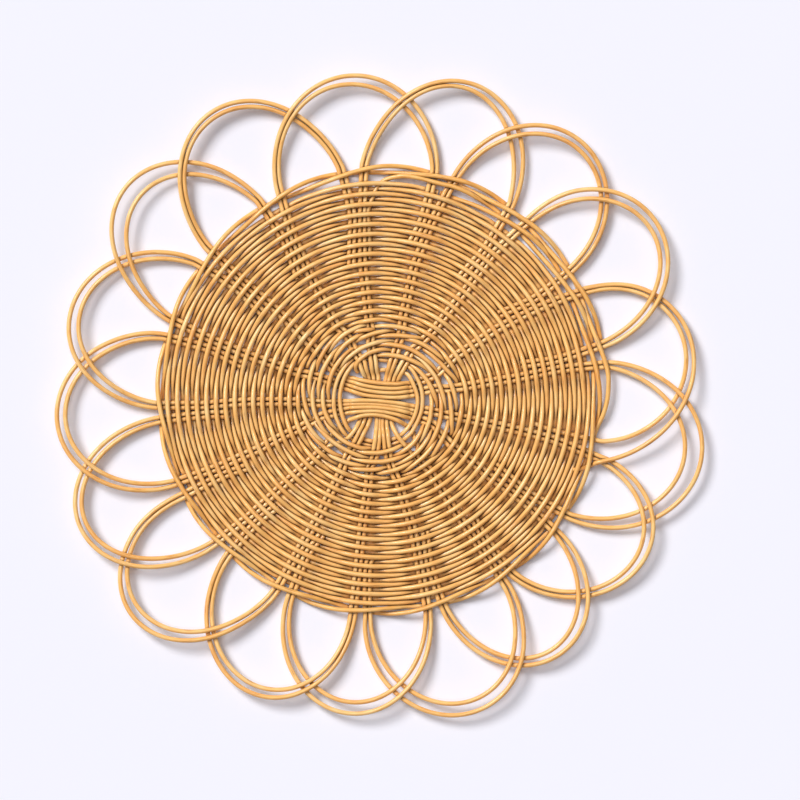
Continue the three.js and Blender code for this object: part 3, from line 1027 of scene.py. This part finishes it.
@dataclass
class Weavers:
    """The canes that are woven round the stakes: the wrapping cane, a short second one and the long weaver.

    Args:
        finish: their material's finish.
        sweeper: makes their meshes.
        first_group: the group that the single spiral first passes over.
        last_crossing: number of the last group that it crosses, where a rim strand takes over.
        points_a_group: points of the centre line from one group to the next.
        level_on: how far it runs level over a group, as a share of the group's half width.
        level_in: the most that may be of half the gap to the next group.
        steep: how steeply it then dives, as a power.
        least_run: the least length that it dives in, in mm.
        lean: how far it is pushed outwards and inwards by turns near the hub, as a reach.
        lean_between: reaches between which that goes.
        start_thickness: of the long weaver near the hub, in mm.
        end_thickness: of it near the rim.
        thicker_between: shares of its length between which it gets thicker.
        tones: how dark the wrapping cane, the second weaver and the long weaver are.
        hub_fineness: length of one step along the first two, in mm, and flats round them.
        fineness: the same for the long weaver.
    """

    finish: RattanFinish
    sweeper: CaneSweeper
    first_group: int = 1
    last_crossing: float = 491.0
    points_a_group: int = 10
    level_on: float = 0.55
    level_in: float = 0.5
    steep: float = 2.2
    least_run: float = 0.1
    lean: float = 0.002
    lean_between: tuple[float, float] = (0.2, 0.35)
    start_thickness: float = 2.82
    end_thickness: float = 2.95
    thicker_between: tuple[float, float] = (0.25, 0.6)
    tones: tuple[float, float, float] = (0.45, 0.6, 0.5)
    hub_fineness: tuple[float, int] = (1.3, 12)
    fineness: tuple[float, int] = (2.1, 10)

    @staticmethod
    def chart(line: Sequence[tuple[float, float, float]], passes: Sequence[Pass]) -> list[np.ndarray]:
        """Points of a weaver near the hub, from the line that it starts with and its table of passes.

        Args:
            line: direction, reach and rise of its first points.
            passes: its passes over the stakes after them.

        Returns:
            Its points, up over each pass and down between them.
        """
        knots = list(line)
        for one in passes:
            last_degrees, last_reach, _ = knots[-1]
            begin = last_degrees - (last_degrees - one.from_degrees) % 360
            span = (one.from_degrees - one.to_degrees) % 360
            for share in DIPS:
                degrees = last_degrees + (begin - last_degrees) * share
                knots.append((degrees, last_reach + (one.from_reach - last_reach) * share, -1.0))
            for share, rise in PASS_RISES:
                knots.append((begin - span * share, one.reach(share), rise))
        return [WEAVE.point(reach, degrees, rise) for degrees, reach, rise in knots]

    def row_reach(self, group: int, crossing: float) -> float:
        """How far out the spiral is where it crosses a group.

        Args:
            group: the group's number.
            crossing: how many crossings there were before.

        Returns:
            The reach.
        """
        g = GROUPS[group]
        first = next(m for m in range(0, 2 * COUNT, 2) if (self.first_group - m) % COUNT == group)
        row = (crossing - first) / (2 * COUNT)
        fit = np.polyfit(MEASURED_ROWS, (g.first_row, g.middle_row, g.last_row), 2)
        return float(np.polyval(fit, row))

    def spiral(self) -> list[np.ndarray]:
        """The long weaver's spiral: over the even crossings and under the odd ones.

        Returns:
            Its points, from the hub outwards.
        """
        crossings = np.arange(-1, math.ceil(self.last_crossing) + 2)
        groups = [(self.first_group - int(m)) % COUNT for m in crossings]
        reaches = np.array([self.row_reach(g, m) for g, m in zip(groups, crossings)])
        directions = np.array([WEAVE.middle(g, r) for g, r in zip(groups, reaches)])
        directions = np.degrees(np.unwrap(np.radians(directions)))
        widths = np.array([WEAVE.half_width(g, r) for g, r in zip(groups, reaches)])
        smooth = catmull_rom(np.column_stack([reaches, directions]), self.points_a_group)
        points = []
        for i, (reach, degrees) in enumerate(smooth):
            place = crossings[0] + i / self.points_a_group
            if place > self.last_crossing:
                break
            nearest = round(place)
            which = nearest - crossings[0]
            away = math.radians(abs(degrees - directions[which])) * WEAVE.radius(reach)
            other = min(len(directions) - 1, max(0, which + (1 if place > nearest else -1)))
            half_gap = math.radians(abs(directions[other] - directions[which])) * WEAVE.radius(reach) / 2
            flat = min(self.level_on * widths[which], self.level_in * half_gap)
            bend = min(1.0, max(0.0, (away - flat) / max(self.least_run, half_gap - flat)))
            rise = (1 if nearest % 2 == 0 else -1) * math.cos(bend * math.pi / 2) ** self.steep
            lean = float(np.interp(reach, self.lean_between, (self.lean, 0.0)))
            points.append(WEAVE.point(reach + lean * math.sin(math.pi * place), degrees, rise))
        return points

    def build(self) -> None:
        """Makes the wrapping cane, the second weaver and the long weaver."""
        material = self.finish.material()
        spiral = self.spiral()
        wrapped = self.chart(WRAP_LINE, WRAP_PASSES) + spiral[:2]
        second = self.chart(SECOND_LINE, SECOND_PASSES)
        for name, points, tone, slot, solids in (
            ("wrapping_weaver", wrapped, self.tones[0], Slot.HUB, ["hub_wrap"]),
            ("second_weaver", second, self.tones[1], Slot.WEAVE, []),
        ):
            path = CanePath(points, HUB_CANE, tone)
            piece = self.sweeper.piece(name, path, material, self.hub_fineness)
            finish_piece(piece, solids)
        thicker = [share * len(spiral) for share in self.thicker_between]
        thickness = np.interp(range(len(spiral)), thicker, (self.start_thickness, self.end_thickness))
        path = CanePath(spiral, list(thickness), self.tones[2])
        weaver = self.sweeper.piece("long_weaver", path, material, self.fineness)
        finish_piece(weaver, ["woven_disc"])


# The rim's line as it winds clockwise from its first end: direction, and how far out it lies.
RIM_LINE = (
    (92, 0.930), (70, 0.931), (50, 0.932), (30, 0.935), (10, 0.943), (-10, 0.955), (-20, 0.965),
    (-40, 0.978), (-60, 0.980), (-80, 0.982), (-110, 0.985), (-130, 0.985), (-150, 0.992), (-180, 0.988),
    (-195, 0.976), (-210, 0.967), (-230, 0.962), (-245, 0.965), (-260, 0.974), (-270, 0.983), (-290, 0.987),
    (-310, 0.985), (-330, 0.987), (-345, 0.990), (-355, 1.000), (-363, 0.988), (-368, 0.965),
)  # fmt: skip

# The first strand starts in the weave, tucked beside a group's stakes: reach, direction, and rise in steps.
STRAND_START = (
    (0.53, 94.6, 0.0), (0.60, 94.3, 0.0), (0.70, 94.2, 0.0), (0.777, 94.1, 0.0), (0.833, 92.8, -0.05),
    (0.865, 92.0, -0.1), (0.894, 91.2, -0.25), (0.917, 90.0, -0.3), (0.934, 88.5, -0.1),
    (0.947, 86.2, 0.3), (0.955, 83.6, 0.75), (0.954, 79.5, 0.95),
)  # fmt: skip

# It ends over the last group, bends in and is pushed under the strand beside it.
STRAND_END = (
    (1.001, 8.0, 1.0), (1.014, 3.5, 0.85), (1.009, -2.0, 0.5), (0.993, -6.2, 0.1), (0.977, -8.6, -0.5),
    (0.965, -11.1, -0.9), (0.958, -14.0, -1.0),
)  # fmt: skip


@dataclass
class Rim:
    """Two strands twined round the feet of the petals, for a turn and a quarter.

    The first strand is a new cane, and the second is the end of the long weaver.

    Args:
        finish: their material's finish.
        sweeper: makes their meshes.
        swing: how far each strand swings to either side of the line, as a reach.
        level: over 1, so that a strand runs level across a group.
        points_a_group: points of a strand from one group to the next.
        first_group: the group that the strands cross first.
        start_reaches: how far out the first strand and the second are at that group.
        joined_by: how many groups on both lie on the line.
        last_places: how many groups on the first strand leaves the line, and the second ends.
        tones: how dark each strand is, from 0 to 1.
        places: groups that their places are worked out for, a turn and a quarter and some more.
        fineness: length of one step along a strand, in mm, and flats round it.
    """

    finish: RattanFinish
    sweeper: CaneSweeper
    swing: float = 0.0175
    level: float = 1.35
    points_a_group: int = 10
    first_group: int = 3
    start_reaches: tuple[float, float] = (0.951, 0.908)
    joined_by: float = 0.6
    last_places: tuple[float, float] = (19.85, 20.1)
    tones: tuple[float, float] = (0.44, 0.56)
    places: int = COUNT + 6
    fineness: tuple[float, int] = (1.4, 12)

    def strand(self, lead: int) -> CanePath:
        """One strand.

        Args:
            lead: 0 for the strand that passes over the first group, 1 for the other.

        Returns:
            Its centre line.
        """
        marks = [-degrees for degrees, _ in RIM_LINE]
        reaches = [reach for _, reach in RIM_LINE]
        crossings = np.arange(self.places)
        groups = [(self.first_group - int(q)) % COUNT for q in crossings]
        centres = np.array([WEAVE.middle(g, 1.0) for g in groups])
        centres = np.degrees(np.unwrap(np.radians(centres)))
        points = [WEAVE.point(*knot) for knot in STRAND_START] if lead == 0 else []
        for place in np.arange(0, self.last_places[lead], 1 / self.points_a_group):
            degrees = float(np.interp(place, crossings, centres))
            line = float(np.interp(-degrees, marks, reaches))
            turn = (place + lead) * math.pi
            rise = min(1.0, max(-1.0, self.level * math.cos(turn)))
            reach = line + self.swing * math.sin(turn)
            reach += (self.start_reaches[lead] - line) * (1 - smoothstep(place, 0.0, self.joined_by))
            points.append(WEAVE.point(reach, degrees, rise))
        points += [WEAVE.point(*knot) for knot in STRAND_END] if lead == 0 else []
        return CanePath(points, CANE, self.tones[lead])

    def build(self) -> None:
        """Makes both strands."""
        material = self.finish.material()
        for lead, letter in enumerate(("a", "b")):
            name = f"twined_strand_{letter}"
            piece = self.sweeper.piece(name, self.strand(lead), material, self.fineness)
            finish_piece(piece, [f"rim_strand_{letter}"])


@dataclass(frozen=True)
class Studio:
    """A plain pale floor, soft light from the upper left, and a camera that looks straight down.

    Args:
        floor: the floor's colour.
        floor_size: in metres.
        lens: the camera's focal length, in mm.
        centre: the point of the table at the middle of the picture, in mm from the tables' origin.
        sky_strength: of the light from all round.
    """

    floor: str = "#edeffb"
    floor_size: float = 24.0
    lens: float = 220.0
    centre: tuple[float, float] = (11.4, -6.6)
    sky_strength: float = 0.13

    def build(self) -> None:
        """Makes the floor, the lights and the camera."""
        self.build_floor()
        self.build_lamp("window", (-0.6, 0.62, 0.88), strength=2.95, width=24.0)
        self.build_lamp("ceiling", (-0.12, 0.15, 1.0), strength=0.95, width=40.0)
        world = bpy.data.worlds.new("soft_room")
        world.use_nodes = True
        world.node_tree.nodes["Background"].inputs["Color"].default_value = linear("#f2f2fb")
        world.node_tree.nodes["Background"].inputs["Strength"].default_value = self.sky_strength
        bpy.context.scene.world = world
        bpy.context.scene.view_settings.view_transform = "Standard"
        self.build_camera()

    def build_floor(self) -> None:
        """A smooth painted board, matt."""
        half = self.floor_size / 2
        mesh = bpy.data.meshes.new("floor")
        corners = [(-half, -half, 0), (half, -half, 0), (half, half, 0), (-half, half, 0)]
        mesh.from_pydata(corners, [], [(0, 1, 2, 3)])
        material = bpy.data.materials.new("painted_board")
        material.use_nodes = True
        surface = material.node_tree.nodes["Principled BSDF"]
        surface.inputs["Base Color"].default_value = linear(self.floor)
        surface.inputs["Roughness"].default_value = 0.8
        mesh.materials.append(material)
        add_object("floor", mesh)

    @staticmethod
    def build_lamp(name: str, direction: tuple[float, float, float], strength: float, width: float) -> None:
        """A large soft light, even over the whole mat.

        Args:
            name: the light's name.
            direction: from the mat towards the light.
            strength: how bright it is, in watts to the square metre.
            width: how wide it looks from the mat, in degrees.
        """
        lamp = bpy.data.lights.new(name, "SUN")
        lamp.energy = strength
        lamp.angle = math.radians(width)
        lamp.color = linear("#fffcf9")[:3]
        holder = add_object(name, lamp)
        holder.location = direction
        holder.rotation_euler = (-Vector(direction)).to_track_quat("-Z", "Y").to_euler()

    def build_camera(self) -> None:
        """Looks straight down from far off, so that the picture's width is the photograph's."""
        data = bpy.data.cameras.new("camera")
        data.lens = self.lens
        width = IMAGE_SIZE * PIXEL * MM
        holder = add_object("camera", data)
        x, y = (np.array(self.centre) + MEASURED_FROM) * MM
        holder.location = (x, y, width * self.lens / data.sensor_width + WEAVE.level * MM)
        bpy.context.scene.camera = holder


def main() -> None:
    """Builds the mat's classes in order."""
    logging.basicConfig(level=logging.INFO, format="%(message)s")
    Studio().build()
    honey = RattanFinish("varnished_rattan_core_weave", "#fee3a6", "#fbc071", "#de8a3a", "#9c490e")
    amber = RattanFinish("varnished_rattan_core_rim", "#fee0a0", "#f9bd69", "#db8737", "#9c490e")
    # The petals' painted crevice shade reaches less far from a neighbour.
    straw = RattanFinish(
        "varnished_rattan_core_petals", "#fee3a6", "#fac070", "#de8c3b", "#a24f10", crevice_shade_width=0.0014
    )
    sweeper = CaneSweeper()
    LongCanes(straw, sweeper).build()
    Weavers(honey, sweeper).build()
    Rim(amber, sweeper).build()


if __name__ == "__main__":
    main()
